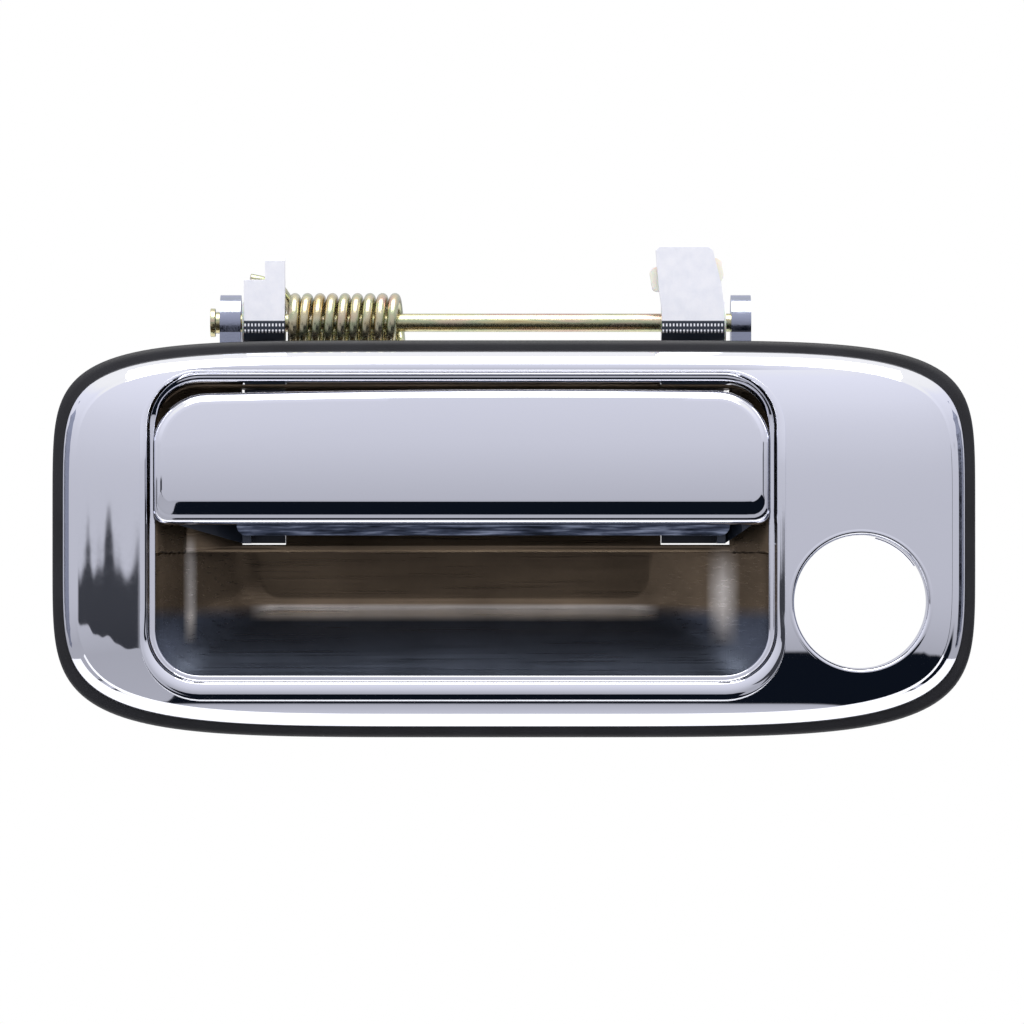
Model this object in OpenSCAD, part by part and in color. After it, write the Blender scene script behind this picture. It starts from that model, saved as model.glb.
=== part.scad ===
// Flap-type outside door handle: a chromed die-cast plate with a finger recess and a key-cylinder
// hole, and a pull-up grip hinged on a long pin behind the door skin, closed by a torsion spring.
// Millimetres. +X right, +Z up, the face looks along -Y, and y = 0 is the door skin.
// The origin is midway between the two tapped fixing bosses, on the door skin.

/* [Plate] */
// Width of the chromed plate
plate_w = 195; // [180:1:210]
// Height of the chromed plate
plate_h = 81.2; // [70:0.2:90]
// How far the plate's crown stands off the door skin
plate_front = 9.6; // [9:0.1:10]
// Height of the fixing bosses above the plate's centre
fix_z = 10; // [6:1:14]
// Distance between the two fixing bosses
fix_span = 172; // [168:1:176]
// Radius of the tapped hole in each fixing boss (M6)
fix_r = 2.5; // [2.4:0.05:2.6]

/* [Gasket] */
// Thickness of the rubber gasket
gasket_t = 2.5; // [2:0.1:3]
// How far the gasket shows outside the plate
gasket_lip = 2.4; // [1:0.1:4]

/* [Key hole] */
// Radius of the hole for the key cylinder
key_r = 14.5; // [13:0.1:15]
// Key hole centre, right of the plate's centre
key_x = 74.8; // [72:0.1:76]
// Key hole centre, above the plate's centre
key_z = -13.6; // [-15:0.1:-12]

/* [Recess] */
// Left edge of the opening
open_x0 = -79.1; // [-82:0.1:-78.5]
// Right edge of the opening
open_x1 = 56.7; // [56:0.1:58]
// Lower edge of the opening
open_z0 = -31.1; // [-33:0.1:-30]
// Upper edge of the opening
open_z1 = 36.0; // [35:0.1:36.5]
// Corner radius of the opening
open_r = 11.5; // [8:0.5:14]
// How far the dish reaches behind the door skin
cup_depth = 17; // [14:0.5:20]
// Thickness of the pressed dish
cup_t = 1.2; // [0.8:0.1:1.6]

/* [Hinge] */
// Height of the hinge pin above the plate's centre
pin_z = 47; // [46:0.1:48]
// Distance of the hinge pin behind the door skin
pin_y = 8; // [7.5:0.1:9]
// Radius of the hinge pin
pin_r = 2.0; // [1.8:0.05:2.2]
// Radial play of the bushes on the pin
pin_play = 0.05; // [0.02:0.01:0.1]
// Radius of the nylon bushes in the arms
bush_r = 3.3; // [3:0.1:3.5]
// Opening angle to preview, 0 is shut
open_angle = 0; // [0:1:25]

/* [Grip] */
// Left end of the grip
grip_x0 = -77.8; // [-78:0.1:-76]
// Right end of the grip
grip_x1 = 55.2; // [54:0.1:55.5]
// Lower edge of the grip
grip_z0 = 3.0; // [1:0.1:5]
// Upper edge of the grip
grip_z1 = 32.2; // [30:0.1:32.5]
// How far the grip's face stands off the door skin
grip_front = 11.2; // [10:0.1:12]

/* [Spring] */
// Wire radius of the torsion spring
wire_r = 1.15; // [1:0.05:1.2]
// Mean coil radius of the torsion spring
coil_r = 5.35; // [5:0.05:5.5]
// Distance between coils
coil_pitch = 2.72; // [2.5:0.01:2.9]
// Full coils
coil_turns = 9; // [7:1:9]

/* [Part] */
// Piece to draw: all, or one piece by name

/* [Hidden] */
$fn = 64;
eps = 0.01;
back = -gasket_t;              // the plate's back face
ledge_y = -4.5;                // front of the ledge inside the opening
a = plate_w / 2;
b = plate_h / 2;
corner_top = 6.0;              // how square the upper and lower corners of the outline are
corner_bottom = 5.2;
lug_l = [-63.8, -59.3];        // x range of each lug and hinge arm
lug_r = [47.2, 51.5];
arm_l = [-58.6, -49.7];
arm_r = [32.1, 45.7];
web_y = [-6.4, -5.0];          // the finger web, flat on the grip's back
lever_hole = [37.6, 57.4];
screw_r = 1.45;
cup_screw_at = [[-81.2, -9], [-50, -33.9], [5, -33.9], [51, -33.4]];
arm_screw_at = [[-54.2, 7.5], [-54.2, 16], [38.9, 7.5], [38.9, 16]];

chrome = [0.80, 0.81, 0.84];
zinc = [0.78, 0.72, 0.50];
steel = [0.55, 0.56, 0.58];
rubber = [0.06, 0.06, 0.07];
nylon = [0.88, 0.85, 0.76];

// ---- helpers ----
module along_y(y0, y1) translate([0, y1, 0]) rotate([90, 0, 0]) linear_extrude(y1 - y0) children();
module along_x(x0, x1) translate([x0, 0, 0]) rotate([90, 0, 90]) linear_extrude(x1 - x0) children();
module rod_x(x0, x1, r, y, z) translate([x0, y, z]) rotate([0, 90, 0]) cylinder(h = x1 - x0, r = r);
module rod_y(y0, y1, r, x, z) translate([x, y1, z]) rotate([90, 0, 0]) cylinder(h = y1 - y0, r = r);

// Outline of the plate, drawn in by d: a superellipse with squarer corners above than below.
function outline(d, n = 96) = [for (i = [0:n - 1])
    let (u = 360 * i / n, c = cos(u), s = sin(u), e = s > 0 ? corner_top : corner_bottom,
         k = pow(pow(abs(c), e) + pow(abs(s), e), -1 / e))
    [(a - d) * c * k, (b - d) * s * k]];

// Rounded rectangle with its own radius above and below, as m points a corner.
function rrect(x0, x1, z0, z1, rt, rb, m = 9) = concat(
    [for (i = [0:m - 1]) let (t = 90 * i / (m - 1)) [x1 - rt + rt * cos(t), z1 - rt + rt * sin(t)]],
    [for (i = [0:m - 1]) let (t = 90 + 90 * i / (m - 1)) [x0 + rt + rt * cos(t), z1 - rt + rt * sin(t)]],
    [for (i = [0:m - 1]) let (t = 180 + 90 * i / (m - 1))
        [x0 + rb + rb * cos(t), z0 + rb + rb * sin(t)]],
    [for (i = [0:m - 1]) let (t = 270 + 90 * i / (m - 1))
        [x1 - rb + rb * cos(t), z0 + rb + rb * sin(t)]]);

// Closed skin through rings of equal count, given from the back to the front as [y, points].
module loft(rings) {
    n = len(rings[0][1]);
    m = len(rings);
    polyhedron(
        points = [for (r = rings) for (p = r[1]) [p[0], r[0], p[1]]],
        faces = concat(
            [[for (i = [0:n - 1]) i]],
            [[for (i = [0:n - 1]) (m - 1) * n + n - 1 - i]],
            [for (j = [0:m - 2]) for (i = [0:n - 1])
                [(j + 1) * n + i, (j + 1) * n + (i + 1) % n, j * n + (i + 1) % n]],
            [for (j = [0:m - 2]) for (i = [0:n - 1]) [(j + 1) * n + i, j * n + (i + 1) % n, j * n + i]]),
        convexity = 6);
}

// Round wire of radius r along a path that never runs parallel to X.
function unit(v) = v / norm(v);
module wire(path, r, k = 10) {
    n = len(path);
    tang = [for (i = [0:n - 1]) unit(path[min(i + 1, n - 1)] - path[max(i - 1, 0)])];
    ring = [for (i = [0:n - 1])
        let (u = unit(cross(tang[i], [1, 0, 0])), v = cross(tang[i], u))
        [for (j = [0:k - 1]) path[i] + r * (cos(360 * j / k) * u + sin(360 * j / k) * v)]];
    polyhedron(
        points = [for (q = ring) for (p = q) p],
        faces = concat(
            [[for (j = [0:k - 1]) j]],
            [[for (j = [0:k - 1]) (n - 1) * k + k - 1 - j]],
            [for (i = [0:n - 2]) for (j = [0:k - 1])
                [i * k + j, (i + 1) * k + j, (i + 1) * k + (j + 1) % k]],
            [for (i = [0:n - 2]) for (j = [0:k - 1])
                [i * k + j, (i + 1) * k + (j + 1) % k, i * k + (j + 1) % k]]),
        convexity = 10);
}

module opening_2d(d = 0) polygon(rrect(open_x0 + d, open_x1 - d, open_z0 + d, open_z1 - d,
                                       max(open_r - d, 1), max(open_r - d, 1)));
module mouth_2d() polygon(rrect(-77.5, 55.1, -29.6, 33.4, 9, 10));

// ---- plate ----
// Distance along direction [dx, dz] to a rounded rectangle of half sizes w, h and radius r.
function reach(dx, dz, w, h, r) =
    let (px = abs(dx), pz = abs(dz))
    pz * w <= (h - r) * px ? w / px
    : px * h <= (w - r) * pz ? h / pz
    : let (q = px * (w - r) + pz * (h - r), dd = px * px + pz * pz, cc = pow(w - r, 2) + pow(h - r, 2))
      (q + sqrt(q * q - dd * (cc - r * r))) / dd;

// The opening grown by its own amount left, right, below and above, in step with outline().
function opening_ring(gl, gr, gb, gt, r, n = 96) =
    let (x0 = open_x0 - gl, x1 = open_x1 + gr, z0 = open_z0 - gb, z1 = open_z1 + gt,
         w = (x1 - x0) / 2, h = (z1 - z0) / 2)
    [for (i = [0:n - 1])
        let (u = 360 * i / n, dx = w * cos(u), dz = h * sin(u), t = reach(dx, dz, w, h, r))
        [(x0 + x1) / 2 + t * dx, (z0 + z1) / 2 + t * dz]];

// A closed band through rings that run round the opening and back to the first one.
module band(rings) {
    n = len(rings[0]);
    m = len(rings);
    polyhedron(
        points = [for (r = rings) for (p = r) p],
        faces = concat(
            [for (j = [0:m - 1]) for (i = [0:n - 1]) let (k = (j + 1) % m)
                [k * n + i, k * n + (i + 1) % n, j * n + (i + 1) % n]],
            [for (j = [0:m - 1]) for (i = [0:n - 1]) let (k = (j + 1) % m)
                [k * n + i, j * n + (i + 1) % n, j * n + i]]),
        convexity = 6);
}

// The plate's face is a shallow dome: y of its surface at x, z.
function crown(x, z) = -plate_front + 2.8 * pow(abs(x) / 92, 12) + 2.9 * pow(abs(z) / 36, 4.5);
function flat(points, y) = [for (p = points) [p[0], y, p[1]]];
function fade(z) = max(0.25, min(1, 1 - (z - 18) / 15));      // the bead is low along the top
function domed(points, up = 0) =
    [for (p = points) [p[0], crown(p[0], p[1]) - (up > 0 ? up * fade(p[1]) : up), p[1]]];
function between(t) = (1 - t) * outline(3.0) + t * opening_ring(1.4, 1.8, 3.6, 0.4, 13);

module plate_skin() band([
    flat(outline(0), back), flat(outline(0), back - 0.4), flat(outline(0.7), back - 1.5),
    domed(outline(1.9), -0.4),
    domed(outline(3.0)), domed(between(0.25)), domed(between(0.5)), domed(between(0.75)),
    domed(between(1)),
    domed(opening_ring(1.2, 1.5, 3.0, 0.35, 12.8), 0.45),
    domed(opening_ring(0.7, 0.9, 1.6, 0.25, 12.2), 0.6),
    domed(opening_ring(0.1, 0.1, 0.2, 0.1, open_r + 0.1), 0.3),
    domed(opening_ring(0, 0, 0, 0, open_r), -0.5),
    flat(opening_ring(0, 0, 0, 0, open_r), back)]);

module lug(x) {
    along_x(x[0], x[1]) difference() {
        union() {
            translate([pin_y, pin_z]) circle(r = 6);
            polygon([[2.4, pin_z], [2.4, 37.6], [back - 1, 37.6], [back - 1, 36.3], [0.4, 34.4], [6, 34.4],
                     [14, 43], [14, pin_z]]);
        }
        translate([pin_y, pin_z]) circle(r = pin_r);
    }
}

module pocket(x0, x1, z0, z1) along_y(back - 3, back + 1) polygon(rrect(x0, x1, z0, z1, 2, 2, 5));

module bezel() color(chrome) difference() {
    union() {
        difference() {
            plate_skin();
            pocket(-90.5, -85.2, -20, 3.4);
            pocket(-90.5, -82.2, 16.6, 26);
            pocket(60, 90.5, 16.8, 27);
            pocket(60.4, 79.4, 4.9, 18);
        }
        along_y(ledge_y, back - 0.02) difference() { opening_2d(-0.5); mouth_2d(); }
        rod_y(back - 4, -0.5, 16.3, key_x, key_z);
        for (s = [-1, 1]) rod_y(back - 4, 0, 5.6, s * fix_span / 2, fix_z);
        lug(lug_l);
        lug(lug_r);
        along_x(-27.5, -23) polygon([[1.6, 38.2], [back - 1, 38.2], [back - 1, 36.2], [1.6, 36.2]]);
    }
    rod_y(-20, 5, key_r, key_x, key_z);
    for (s = [-1, 1]) rod_y(-6.4, 5, fix_r, s * fix_span / 2, fix_z);
    for (p = cup_screw_at) rod_y(-6.4, 5, screw_r, p[0], p[1]);
}

module gasket() color(rubber) along_y(back, 0) difference() {
    polygon(outline(-gasket_lip));
    polygon([for (p = outline(3.4)) [p[0], p[1] > 0 ? p[1] * 38.5 / 37.2 : p[1]]]);
}

// ---- dish ----
// The dish is deep below step_z, for the fingers, and shallow above it, behind the grip.
step_z = -3;
function dish_ring(y, x0, x1, z0, z1, r, t) = [y, rrect(x0 - t, x1 + t, z0 - t, z1 + t, r + t, r + t)];
function dish_mouth(t) = dish_ring(back + (t > 0 ? 0.4 : -0.2), -77.5, 55.1, -29.6, 33.4, 9, t);
module deep(t) loft([
    dish_ring(cup_depth + t, -54, 28, -11.5, 24, 4, t),
    dish_ring(cup_depth - 0.9 + t, -57.5, 31.5, -14.6, 24, 5, t),
    dish_ring(cup_depth - 3.5 + t * 0.5, -60.5, 34.5, -17.6, 24, 6, t),
    dish_ring(6, -69, 44.5, -22.4, 28, 8, t),
    dish_ring(0, -75.4, 52.4, -27.0, 32.4, 9, t),
    dish_mouth(t)]);
module shallow(t) loft([
    dish_ring(5 + t, -70.0, 45.9, -22.4, 31.0, 8, t),
    dish_ring(0, -75.4, 52.4, -27.0, 32.4, 9, t),
    dish_mouth(t)]);

module below(z) translate([-150, -50, z - 100]) cube([300, 100, 100]);
module above(z) translate([-150, -50, z]) cube([300, 100, 100]);
module flange_2d() difference() {
    intersection() {
        polygon(rrect(-84.6, 58.0, -36.8, 33.4, 9, 9));
        polygon(outline(4.6));
    }
    translate([-fix_span / 2, fix_z]) circle(r = 6);
}
module arm_slots() for (x = [[-59.4, -48.9], [31.3, 46.9]])
    translate([x[0], -0.6, -4.6]) cube([x[1] - x[0], 13, 45]);

module recess_cup() color(steel) difference() {
    union() {
        intersection() { deep(cup_t); below(step_z + cup_t); }
        intersection() { shallow(cup_t); above(step_z); }
        along_y(back + 0.4, back + 0.4 + cup_t) flange_2d();
    }
    intersection() { deep(0); below(step_z); }
    intersection() { shallow(0); above(step_z - eps); }
    along_y(back - 1, back + 0.7) mouth_2d();
    arm_slots();
    for (p = cup_screw_at) rod_y(-4, 2, 1.7, p[0], p[1]);
}

module cup_seal() color(rubber) along_y(back, back + 0.4) difference() {
    flange_2d();
    polygon(rrect(-79.3, 56.9, -31.4, 40, 9, 10));
    for (p = cup_screw_at) translate(p) circle(r = 1.7);
}

module cup_screws() color(steel) for (p = cup_screw_at) {
    rod_y(-6.2, back + 0.5 + cup_t, screw_r - 0.02, p[0], p[1]);
    difference() {
        rod_y(back + 0.4 + cup_t, back + 2.2 + cup_t, 2.6, p[0], p[1]);
        translate([p[0] - 1.6, back + 1.5 + cup_t, p[1] - 0.3]) cube([3.2, 2, 0.6]);
        translate([p[0] - 0.3, back + 1.5 + cup_t, p[1] - 1.6]) cube([0.6, 2, 3.2]);
    }
}

// ---- rubber stops ----
module buffer(x) color(rubber) translate([x, 0, 0])
    along_y(-6.1, ledge_y) polygon(rrect(-1.6, 1.6, 12, 24, 1.2, 1.2));
module open_stop(x0, x1) color(rubber)
    along_y(back, -0.1) polygon(rrect(x0, x1, 36.4, 37.8, 0.5, 0.5));

// ---- hinge pin and spring ----
module pivot_pin() color(zinc) {
    rod_x(-65.5, 51.4, pin_r, pin_y, pin_z);
    rod_x(-66.0, -64.9, 3.1, pin_y, pin_z);
    translate([-65.2, pin_y, pin_z]) rotate([0, 90, 0]) cylinder(h = 1.35, r = pin_r + 0.35, $fn = 12);
}

function coil_x(p) = p < 360 ? -48.3 + 0.7 * (p - 90) / 270 : -47.6 + coil_pitch * (p - 360) / 360;
spring_end = 360 * coil_turns + 150;
leg_dir = [0, cos(spring_end), -sin(spring_end)];
spring_path = concat(
    [[-57.4, 9.75, 56.6], [-55.2, 10.1, 56.2], [-52.8, 10.9, 55.4], [-50.6, 12.1, 54.0],
     [-49.1, 13.0, 51.8], [-48.45, 13.35, 49.4]],
    [for (p = [90:15:spring_end]) [coil_x(p), pin_y + coil_r * sin(p), pin_z + coil_r * cos(p)]],
    [for (s = [3:3:9]) [coil_x(spring_end), pin_y + coil_r * sin(spring_end), pin_z + coil_r * cos(spring_end)]
                       + s * leg_dir]);
module return_spring() color(zinc) wire(spring_path, wire_r);

// ---- grip ----
module grip() color(chrome) difference() {
    loft([
        [-6.4, rrect(grip_x0 + 0.2, grip_x1 - 0.2, grip_z0 + 0.2, grip_z1 - 0.2, 9.8, 2.8)],
        [-6.7, rrect(grip_x0, grip_x1, grip_z0, grip_z1, 10, 3)],
        [-7.5, rrect(grip_x0, grip_x1, grip_z0, grip_z1, 10, 3)],
        [-7.9, rrect(grip_x0 + 0.4, grip_x1 - 0.4, grip_z0 + 0.4, grip_z1 - 0.2, 9.6, 2.8)],
        [-8.3, rrect(grip_x0 + 1.3, grip_x1 - 1.3, grip_z0 + 1.5, grip_z1 - 0.3, 9.2, 2.6)],
        [-9.6, rrect(grip_x0 + 1.5, grip_x1 - 1.5, grip_z0 + 3.0, grip_z1 - 0.9, 9, 2.4)],
        [-10.4, rrect(grip_x0 + 1.9, grip_x1 - 1.9, grip_z0 + 4.2, grip_z1 - 2.0, 8.6, 2.4)],
        [-10.8, rrect(grip_x0 + 2.8, grip_x1 - 2.8, grip_z0 + 5.4, grip_z1 - 4.0, 8, 2.4)],
        [-11.1, rrect(grip_x0 + 6, grip_x1 - 6, grip_z0 + 8.5, grip_z1 - 8.0, 5, 2.2)],
        [-grip_front, rrect(grip_x0 + 12, grip_x1 - 12, grip_z0 + 12, grip_z1 - 11.5, 2, 1.5)]]);
    for (p = arm_screw_at) rod_y(-9.2, -5, screw_r, p[0], p[1]);
}

module finger_web() color(steel) along_y(web_y[0], web_y[1]) difference() {
    polygon(rrect(-59.8, 46.6, 0.75, 26.4, 2, 2));
    for (p = arm_screw_at) translate(p) circle(r = screw_r + 0.1);
}

// ---- hinge arms ----
module arm_profile(top, lever_back) difference() {
    union() {
        translate([pin_y, pin_z]) circle(r = 5);
        polygon([[web_y[1], 4], [-3, 4], [-3, 19.5], [-1, 21.5], [7.4, 21.5], [7.4, -1.0], [10.4, -1.0],
                 [10.4, 40], [13, 45], [13, pin_z], [8, pin_z + 5], [lever_back, pin_z + 4.6], [lever_back, top],
                 [3, top], [3, 45], [7.4, 42], [7.4, 25.5], [web_y[1], 25.5]]);
    }
    translate([pin_y, pin_z]) circle(r = bush_r);
}

module hinge_arm_left() color(chrome) difference() {
    union() {
        along_x(arm_l[0], arm_l[1]) arm_profile(56.2, 7.6);
        along_x(-54, arm_l[1]) polygon([[3, 55], [6, 55], [6, 61], [3.6, 61], [3, 60.4]]);
        along_x(arm_l[0], arm_l[0] + 1.8)
            polygon([[web_y[1], -1.0], [7.5, -1.0], [7.5, 22], [web_y[1], 22]]);
        translate([0, 0, -1.0]) linear_extrude(14)
            polygon([[-73, -6.4], [-70.4, -6.4], [-57.2, 2.0], [-57.2, 4.2], [-58.6, 4.2]]);
    }
    for (p = arm_screw_at) rod_y(-7, 0, screw_r + 0.1, p[0], p[1]);
}

module hinge_arm_right() color(chrome) difference() {
    union() {
        along_x(arm_r[0], arm_r[1]) arm_profile(51.5, 5.8);
        along_y(3, 5.8) polygon([[arm_r[0], 50], [arm_r[1], 50], [arm_r[1] - 0.6, 55], [43.2, 62.6],
                                 [42.2, 63.4], [31.6, 63.4], [30.8, 62.6], [31.4, 55]]);
        along_x(arm_r[1] - 1.8, arm_r[1])
            polygon([[web_y[1], -1.0], [7.5, -1.0], [7.5, 22], [web_y[1], 22]]);
        translate([0, 0, -1.0]) linear_extrude(14)
            polygon([[51.6, -6.4], [49.2, -6.4], [44.3, 2.0], [44.3, 4.2], [45.7, 4.2]]);
    }
    for (p = arm_screw_at) rod_y(-7, 0, screw_r + 0.1, p[0], p[1]);
    rod_y(4.0, 12, 2.5, lever_hole[0], lever_hole[1]);
}

module arm_screws() color(steel) for (p = arm_screw_at) {
    rod_y(-9.0, -2.9, screw_r - 0.02, p[0], p[1]);
    difference() {
        rod_y(-3.0, -1.2, 2.6, p[0], p[1]);
        translate([p[0] - 1.6, -1.9, p[1] - 0.3]) cube([3.2, 2, 0.6]);
        translate([p[0] - 0.3, -1.9, p[1] - 1.6]) cube([0.6, 2, 3.2]);
    }
}

module bush(x0, x1, flange) color(nylon) difference() {
    union() {
        rod_x(x0, x1, bush_r - 0.02, pin_y, pin_z);
        rod_x(flange, flange + 0.4, 4.4, pin_y, pin_z);
    }
    rod_x(x0 - 1, x1 + 1, pin_r + pin_play, pin_y, pin_z);
}

// ---- rod clip ----
module rod_clip() color(nylon) translate([lever_hole[0], 0, lever_hole[1]]) difference() {
    union() {
        rod_y(4.3, 6.2, 2.44, 0, 0);
        rod_y(6.1, 11.5, 4.0, 0, 0);
        rotate([0, -9, 0]) along_y(6.1, 9.0) polygon(rrect(-7.9, 7.9, -2.7, 2.7, 1.5, 1.5));
        rotate([0, -9, 0]) along_y(8.5, 12.6) polygon(rrect(-7.8, -5.6, -2.5, 2.5, 1.0, 1.0));
    }
    rod_y(0, 14, 1.7, 0, 0);
}

module swing() {
    translate([0, pin_y, pin_z]) rotate([-open_angle, 0, 0]) translate([0, -pin_y, -pin_z]) children();
}
module placed() translate([0, 0, -fix_z]) children();

placed() bezel();
placed() gasket();
placed() recess_cup();
placed() cup_seal();
placed() cup_screws();
placed() buffer(-75.8);  // close_buffer_left
placed() buffer(53.2);  // close_buffer_right
placed() open_stop(-57.2, -51.2);  // open_stop_left
placed() open_stop(34.5, 43.5);  // open_stop_right
placed() pivot_pin();
placed() return_spring();
placed() swing() grip();
placed() swing() finger_web();
placed() swing() hinge_arm_left();
placed() swing() hinge_arm_right();
placed() swing() arm_screws();
placed() swing() bush(arm_l[0] - 0.4, arm_l[1], arm_l[0] - 0.4);  // bush_left
placed() swing() bush(arm_r[0], arm_r[1] + 0.4, arm_r[1]);  // bush_right
placed() swing() rod_clip();
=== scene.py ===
# %% [markdown]
# # A chromed flap door handle
#
# This lesson builds the looks of an outside car door handle: a chromed plate with a finger recess,
# a pull-up grip, and the hinge pin, spring and arms behind it. The solid parts come packed as a
# *frame*, in metres: +X to the key hole's end, +Z up, and -Y out of the door. Each visible piece is
# made here with mesh operators, named, and, apart from the spring, tied to the frame body that it moves with.

# %% Setup
import math

import bmesh
import bpy
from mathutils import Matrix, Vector


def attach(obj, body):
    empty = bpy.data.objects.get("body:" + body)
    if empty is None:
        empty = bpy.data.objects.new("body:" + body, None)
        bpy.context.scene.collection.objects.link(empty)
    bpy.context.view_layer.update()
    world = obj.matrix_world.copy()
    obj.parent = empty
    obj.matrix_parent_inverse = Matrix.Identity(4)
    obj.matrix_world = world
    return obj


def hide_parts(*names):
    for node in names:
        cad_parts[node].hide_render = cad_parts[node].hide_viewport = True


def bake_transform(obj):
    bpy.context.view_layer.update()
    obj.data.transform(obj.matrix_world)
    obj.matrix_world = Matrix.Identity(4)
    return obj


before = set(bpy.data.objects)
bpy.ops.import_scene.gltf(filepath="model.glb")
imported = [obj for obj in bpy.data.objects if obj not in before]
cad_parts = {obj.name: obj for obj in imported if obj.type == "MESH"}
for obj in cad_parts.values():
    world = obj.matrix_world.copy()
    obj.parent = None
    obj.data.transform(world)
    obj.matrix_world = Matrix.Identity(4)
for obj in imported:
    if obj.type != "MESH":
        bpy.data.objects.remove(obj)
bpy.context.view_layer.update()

scene = bpy.context.scene
MM = 0.001
LIFT = 10.0  # the origin is this far above the plate's centre, in mm


def at(x, y, z):
    """A point given in mm from the plate's centre, as a point in the frame."""
    return Vector((x * MM, y * MM, (z - LIFT) * MM))


print("pieces in the frame:", sorted(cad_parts))

# %% [markdown]
# ## Outlines
#
# A chromed surface shows every kink, so its shape comes from smooth formulas. The plate's outline is
# a *superellipse*, which has big soft corners and slightly bowed sides. The opening, the ledge in it
# and the grip are rounded rectangles. Both are sampled in the same angular steps, so that a ring of
# one can be joined to a ring of the other point by point.

# %% Outline formulas
STEPS = 384
HALF_W, HALF_H = 97.5, 40.6
OPENING = (-79.1, 56.7, -31.1, 36.0)
MOUTH = (-77.5, 55.1, -29.6, 33.4)


def plate_ring(inset, steps=STEPS):
    """Outline of the plate in (x, z), drawn in by inset mm."""
    points = []
    for i in range(steps):
        u = 2 * math.pi * i / steps
        c, s = math.cos(u), math.sin(u)
        e = 5.6 + 0.4 * math.tanh(4 * s)
        k = (abs(c) ** e + abs(s) ** e) ** (-1 / e)
        points.append(((HALF_W - inset) * c * k, (HALF_H - inset) * s * k))
    return points


def reach(dx, dz, w, h, r):
    """How far a rounded rectangle of half sizes w and h is along the direction (dx, dz)."""
    px, pz = abs(dx), abs(dz)
    if pz * w <= (h - r) * px:
        return w / px
    if px * h <= (w - r) * pz:
        return h / pz
    q = px * (w - r) + pz * (h - r)
    d = px * px + pz * pz
    return (q + math.sqrt(max(q * q - d * ((w - r) ** 2 + (h - r) ** 2 - r * r), 0))) / d


def rounded_ring(box, grow, r, steps=STEPS):
    """Rounded rectangle box = (x0, x1, z0, z1), grown by (left, right, below, above) mm."""
    x0, x1, z0, z1 = box[0] - grow[0], box[1] + grow[1], box[2] - grow[2], box[3] + grow[3]
    w, h = (x1 - x0) / 2, (z1 - z0) / 2
    points = []
    for i in range(steps):
        u = 2 * math.pi * i / steps
        dx, dz = w * math.cos(u), h * math.sin(u)
        t = reach(dx, dz, w, h, r)
        points.append(((x0 + x1) / 2 + t * dx, (z0 + z1) / 2 + t * dz))
    return points


def mixed(a, b, t):
    return [((1 - t) * p[0] + t * q[0], (1 - t) * p[1] + t * q[1]) for p, q in zip(a, b)]


def crown(x, z):
    """Depth of the plate's domed face at (x, z), in mm: it falls away towards its edges."""
    over = min(max(z - 36.45, 0.0), 2.4)  # above the opening the dome rolls over to a level edge
    along = max(0.0, min(1.0, (72 - x) / 30, (88 + x) / 20))
    roll = 0.43 * (over - over * over / 4.8) * along * along * (3 - 2 * along)
    return -9.72 + 2.8 * (abs(x) / 92) ** 12 + 2.9 * (abs(z) / 36) ** 4.5 - roll


print("the plate's face is", round(crown(97, 0) - crown(0, 0), 1), "mm lower at its ends than in the middle")

# %% [markdown]
# ## Growing a skin ring by ring
#
# A skin starts as one circle of vertices, moved on to the first ring. Each next ring is an *edge
# extrusion* of the one before: Blender makes one new quad per edge, and the new vertices are moved
# on to the next ring. That keeps the quads in tidy columns, which is what smooth reflections need.


# %% Ring tools
def lay_ring(bm, points):
    made = bmesh.ops.create_circle(bm, cap_ends=False, segments=len(points), radius=1.0)["verts"]
    for v, p in zip(made, points):
        v.co = p
    return made


def ring_edges(bm, ring):
    return [bm.edges.get((ring[i - 1], ring[i])) for i in range(len(ring))]


def grow(bm, ring, points):
    """Extrudes a closed ring of vertices to new points and returns the new ring."""
    out = bmesh.ops.extrude_edge_only(bm, edges=ring_edges(bm, ring))["geom"]
    fresh = {g for g in out if isinstance(g, bmesh.types.BMVert)}
    new = []
    for v in ring:
        new.append(next(e.other_vert(v) for e in v.link_edges if e.other_vert(v) in fresh))
    for v, p in zip(new, points):
        v.co = p
    return new


def skin(bm, rings):
    ring = lay_ring(bm, rings[0])
    first = ring
    for points in rings[1:]:
        ring = grow(bm, ring, points)
    return first, ring


def whole(bm):
    return bm.verts[:] + bm.edges[:] + bm.faces[:]


def as_object(bm, name, smooth=True, crease=None):
    bmesh.ops.recalc_face_normals(bm, faces=bm.faces)
    for e in bm.edges:
        if crease and len(e.link_faces) == 2 and e.calc_face_angle() > math.radians(crease):
            e.smooth = False
    mesh = bpy.data.meshes.new(name)
    bm.to_mesh(mesh)
    bm.free()
    obj = bpy.data.objects.new(name, mesh)
    scene.collection.objects.link(obj)
    if smooth:
        mesh.polygons.foreach_set("use_smooth", [True] * len(mesh.polygons))
    print(f"{name}: {len(mesh.polygons)} faces")
    return obj


# %% [markdown]
# ## Materials
#
# A Blender material is a tree of nodes. One helper adds a node, sets or links its inputs and returns
# its output, so each material reads from its patterns down to its surface. Colours are sRGB hex
# values, turned into the linear values that Blender wants. Patterns are drawn from object
# coordinates in metres, and another helper turns a real size in mm into a noise's scale. Grain that
# is finer than about 0.4 mm in life is drawn at that size, or it wouldn't show.


# %% Material helpers
def linear(hex_colour):
    out = []
    for i in (0, 2, 4):
        c = int(hex_colour[i:i + 2], 16) / 255
        out.append(c / 12.92 if c <= 0.04045 else ((c + 0.055) / 1.055) ** 2.4)
    return (*out, 1.0)


def grey(v):
    return (v, v, v, 1.0)


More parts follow.
